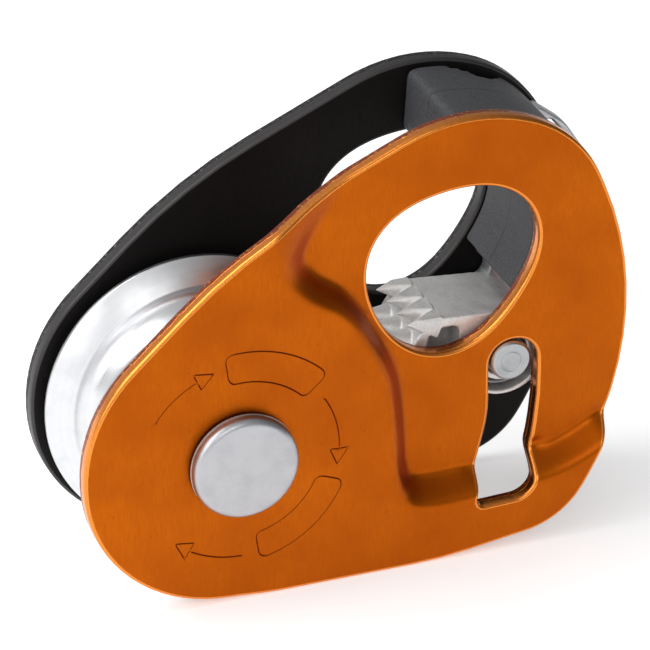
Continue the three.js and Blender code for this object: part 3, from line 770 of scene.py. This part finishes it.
camShape = {
    "face": [
        [24.6, 10.9], [22.5, 10.2], [21.3, 8.6], [20.9, 6.2],
        [21.1, 3.6], [22.2, 1.2], [24.2, -0.9], [27, -2],
    ],
    "root": [
        [26.6, 10.74], [25, 10.1], [23.4, 8.3], [22.6, 6.1],
        [22.7, 3.9], [23.6, 2], [25.3, 0.3], [27.6, -0.8],
    ],
    "boss": 5.4, "front": -5.5, "back": 5.2, "top": 10.9, "recess": 1.5,
    "rows": [0.33, 0.48, 0.63, 0.78], "tooth": 1.65, "toothHeight": 3.5,
    "topRow": {"at": [26.1, 9.9], "direction": [-1, -0.1, 0.13], "height": 4.1, "radius": 1.75},
}


# Outline of the cam at the roots of its teeth: the boss round the pin, the flat top and the root curve
def camOutline():
    angle = np.radians(-120 + 8.75 * np.arange(0, 25))
    boss = np.array(drawing["pin"]) + camShape["boss"] * np.stack([np.cos(angle), np.sin(angle)], axis=1)
    return evenly(np.concatenate([boss, throughPoints(camShape["root"])]), 0.25)


# Cone with its base ring at a point and its tip along a direction
def cone(base, direction, radius, height, sides=20):
    axisU = unit(np.cross(direction, (0.3, 1, 0.2)))
    axisV = np.cross(direction, axisU)
    angle = np.linspace(0, 2 * math.pi, sides, endpoint=False)[:, None]
    ring = base + radius * (np.cos(angle) * axisU + np.sin(angle) * axisV)
    points = np.concatenate([ring, [base + direction * height], [base - direction * 0.6]])
    here, after = np.arange(sides), (np.arange(sides) + 1) % sides
    faces = [*np.stack([here, after, np.full(sides, sides)], axis=1).tolist(),
             *np.stack([after, here, np.full(sides, sides + 1)], axis=1).tolist()]
    return points, faces


def camTeeth():
    face = throughPoints(camShape["face"])
    along = np.gradient(face, axis=0)
    along /= np.linalg.norm(along, axis=1)[:, None]
    outwards = np.stack([along[:, 1], -along[:, 0]], axis=1)
    top = camShape["topRow"]
    evenRow, oddRow = (-4.9, -1.7, 1.5, 4.7), (-3.3, -0.1, 3.1)
    teeth = [cone(np.array((top["at"][0], y, top["at"][1])), unit(np.array(top["direction"])), top["radius"],
                  top["height"]) for y in evenRow]
    for row, share in enumerate(camShape["rows"]):
        k = round(share * (len(face) - 1))
        columns = oddRow if row % 2 == 0 else evenRow
        for y in columns:
            direction = unit(np.array((outwards[k, 0], -0.12, outwards[k, 1] + 0.25)))
            base = np.array((face[k, 0], y, face[k, 1])) - direction * (camShape["recess"] + 0.3)
            teeth.append(cone(base, direction, camShape["tooth"], camShape["toothHeight"]))
    return teeth


pinHole = circleLoop(*drawing["pin"], drawing["pinBore"])
ringOut, ringIn = circleLoop(*drawing["pin"], 4.9), circleLoop(*drawing["pin"], 3.5)
reliefLoop = evenly(roundedPath([[25.0, 1.8, 1.4], [28.2, 0.4, 1.4], [28.8, 9.4, 0.9], [25.2, 9.4, 1.2],
                                 [24.3, 5.4, 4]]), 0.25)
body = camOutline()
shells = [
    plainSlab(body, [pinHole], camShape["front"] + 3.2, camShape["back"], 0.8),
    plainSlab(body, [ringOut, reliefLoop], camShape["front"], camShape["front"] + 3.4, 0.8),
    plainSlab(ringIn, [pinHole], camShape["front"], camShape["front"] + 3.4, 0.8),
    *camTeeth(),
]
camPiece = fusedPiece("cam_cast", shells, 0.13, 2, [castSteel])


# Flat top of the cam, and its two sides: no point is higher or wider than the block it is cut from
def trimmed(piece):
    count = len(piece.data.vertices)
    flat = np.empty(count * 3)
    piece.data.vertices.foreach_get("co", flat)
    at = (flat.reshape(-1, 3) - axle) / mm
    at[:, 2] = np.minimum(at[:, 2], camShape["top"])
    at[:, 1] = np.clip(at[:, 1], camShape["front"], camShape["back"])
    piece.data.vertices.foreach_set("co", (at * mm + axle).ravel())
    piece.data.update()


trimmed(camPiece)
standFor(camPiece, "cam_lever", "cast_steel", "cam")
print("cam:", len(camPiece.data.polygons), "faces")

lever = {"front": 5.5, "thickness": 2.6, "eye": [47.6, 23.4, 0.7]}
leverLoop = evenly(roundedPath([
    [39.6, -1, 4.6], [45.4, 8.2, 6], [51, 15.4, 5], [49.6, 22.2, 5], [46.3, 27.3, 4], [42.4, 30.3, 0.8],
    [37.6, 13.4, 2], [36.8, 8.4, 1.5], [31, 8.5, 3.2], [31, 0.9, 3.2],
]), 0.3)
thumbCorners = [[43.2, 27.5, 0.7], [45.4, 24.8, 0.7], [46.4, 25.7, 0.7], [44.2, 28.4, 0.7]]
thumbSlot = evenly(roundedPath(thumbCorners), 0.2)
leverHoles = [pinHole, thumbSlot, circleLoop(*lever["eye"], 0.15)]
points, faces, depth, walls = sheetShell(
    leverLoop, leverHoles, edgeRows(lever["thickness"], 0.3, 0.3, 0.03),
    lambda p: np.full(len(p), lever["front"]), 0.9)
leverPiece = newPiece("release_lever_stamped", points, faces, [leverSteel], None, {"depth": depth})
standFor(leverPiece, "cam_lever", "lever_steel", "release_lever")

spring = {"radius": 4.2, "wire": 0.3, "turns": 2.5, "pitch": 0.78, "start": camShape["front"] + 0.55}


# Helix with a round wire: centre = (r cos a, pitch a / 2 pi, r sin a), ends closed by a shrinking dome
def springShell(steps=260, sides=12):
    t = np.linspace(0, 1, steps)
    angle = 2 * math.pi * spring["turns"] * t
    depth = spring["start"] + spring["pitch"] * spring["turns"] * t
    pinX, pinZ = drawing["pin"]
    coil = spring["radius"]
    centre = np.stack([pinX + coil * np.cos(angle), depth, pinZ + coil * np.sin(angle)], axis=1)
    away = np.stack([np.cos(angle), 0 * angle, np.sin(angle)], axis=1)
    up = np.array((0.0, 1.0, 0.0))
    fade = np.clip(np.minimum(t, 1 - t) * 110, 0, 1)
    wire = spring["wire"] * np.sqrt(1 - (1 - fade) ** 2)
    around = np.linspace(0, 2 * math.pi, sides, endpoint=False)
    grid = centre[:, None] + wire[:, None, None] * (
        np.cos(around)[None, :, None] * away[:, None] + np.sin(around)[None, :, None] * up)
    index = np.arange(steps * sides).reshape(steps, sides)
    here, after = index[:-1], index[1:]
    faces = np.stack([here, after, np.roll(after, -1, axis=1), np.roll(here, -1, axis=1)], axis=2)
    return grid.reshape(-1, 3), faces.reshape(-1, 4).tolist()


points, faces = springShell()
standFor(newPiece("cam_spring_wound", points, faces, [springSteel]), "frame", "spring_steel", "cam_spring")
print("lever and spring made")

# Pieces that keep the shape they came with, each with its own finish

kept = {
    "axle_sleeve": satinSteel, "front_spacer": satinSteel, "back_spacer": satinSteel,
    "bearing_inner_ring": bearingSteel, "bearing_outer_ring": bearingSteel,
    "ball_cage": cageBrass, "front_seal": sealRubber, "back_seal": sealRubber,
    **{f"bearing_ball_{i}": bearingSteel for i in range(1, 9)},
}
for node, material in kept.items():
    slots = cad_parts[node].data.materials
    slots.clear()
    slots.append(material)

# Floor, light and camera

floorSize = 1.2
floorMesh = bpy.data.meshes.new("floor")
corners = np.array([(-1, -1, 0), (1, -1, 0), (1, 1, 0), (-1, 1, 0)]) * floorSize
floorMesh.from_pydata((corners - (0, 0, 0.00002)).tolist(), [], [(0, 1, 2, 3)])
floor = bpy.data.objects.new("floor", floorMesh)
bpy.context.scene.collection.objects.link(floor)
floorMaterial, floorTree, floorShader = newMaterial("pale_floor", 0.0, Specular_IOR_Level=0.2)
paper = noise(floorTree, objectPoint(floorTree), 1.5, 3)
floorTree.links.new(blended(floorTree, paper, srgb(246, 246, 246), srgb(242, 242, 243)),
                    floorShader.inputs["Base Color"])
floorShader.inputs["Roughness"].default_value = 0.8
floorShader.inputs["Emission Color"].default_value = (1, 1, 1, 1)
floorShader.inputs["Emission Strength"].default_value = 0.4
floorMesh.materials.append(floorMaterial)

world = bpy.data.worlds.new("studio")
world.use_nodes = True
sky = world.node_tree
backdrop = {"dim": 0.16, "bright": 0.62, "strength": 1.0}
direction = add(sky, "SeparateXYZ", {0: add(sky, "TexCoord").outputs["Generated"]})
glow = remap(sky, direction.outputs[0], -0.25, 0.75, backdrop["bright"], backdrop["dim"])
background = sky.nodes["Background"]
plug(background, "Color", add(sky, "CombineXYZ", {0: glow, 1: glow, 2: glow}).outputs[0])
background.inputs["Strength"].default_value = backdrop["strength"]
bpy.context.scene.world = world


# Soft light: a square panel at a place in metres, facing the pulley
def panel(name, place, size, power):
    light = bpy.data.lights.new(name, "AREA")
    light.shape = "SQUARE"
    light.size = size
    light.energy = power
    lamp = bpy.data.objects.new(name, light)
    lamp.location = place
    lamp.rotation_mode = "QUATERNION"
    lamp.rotation_quaternion = (Vector((0, 0, 0.025)) - Vector(place)).to_track_quat("-Z", "Y")
    bpy.context.scene.collection.objects.link(lamp)


panel("key_panel", (-0.42, 0.12, 0.5), 0.45, 2.2)
panel("left_panel", (-0.55, -0.25, 0.3), 0.4, 1.0)
panel("front_panel", (-0.12, -0.6, 0.4), 0.35, 0.6)

# The view is turned round the pulley by these angles, with a long lens and no shift
viewpoint = {
    "azimuth": -20.83, "elevation": 27.87, "distance": 575.4, "aimRight": 13.31, "aimUp": 10.7, "lens": 276.9,
}
azimuth, elevation = math.radians(viewpoint["azimuth"]), math.radians(viewpoint["elevation"])
right = Vector((math.cos(azimuth), math.sin(azimuth), 0))
back = Vector((math.sin(azimuth) * math.cos(elevation), -math.cos(azimuth) * math.cos(elevation),
               math.sin(elevation)))
up = back.cross(right)
cameraData = bpy.data.cameras.new("camera")
cameraData.lens = viewpoint["lens"]
cameraData.sensor_width = 36
cameraData.clip_start = 0.05
cameraData.clip_end = 20
camera = bpy.data.objects.new("camera", cameraData)
bpy.context.scene.collection.objects.link(camera)
offset = viewpoint["aimRight"] * right + viewpoint["aimUp"] * up + viewpoint["distance"] * back
place = Vector(axle) + offset * mm
camera.matrix_world = Matrix.Translation(place) @ Matrix((right, up, back)).transposed().to_4x4()
bpy.context.scene.camera = camera
bpy.context.scene.view_settings.view_transform = "Standard"
print("floor, light and camera made")
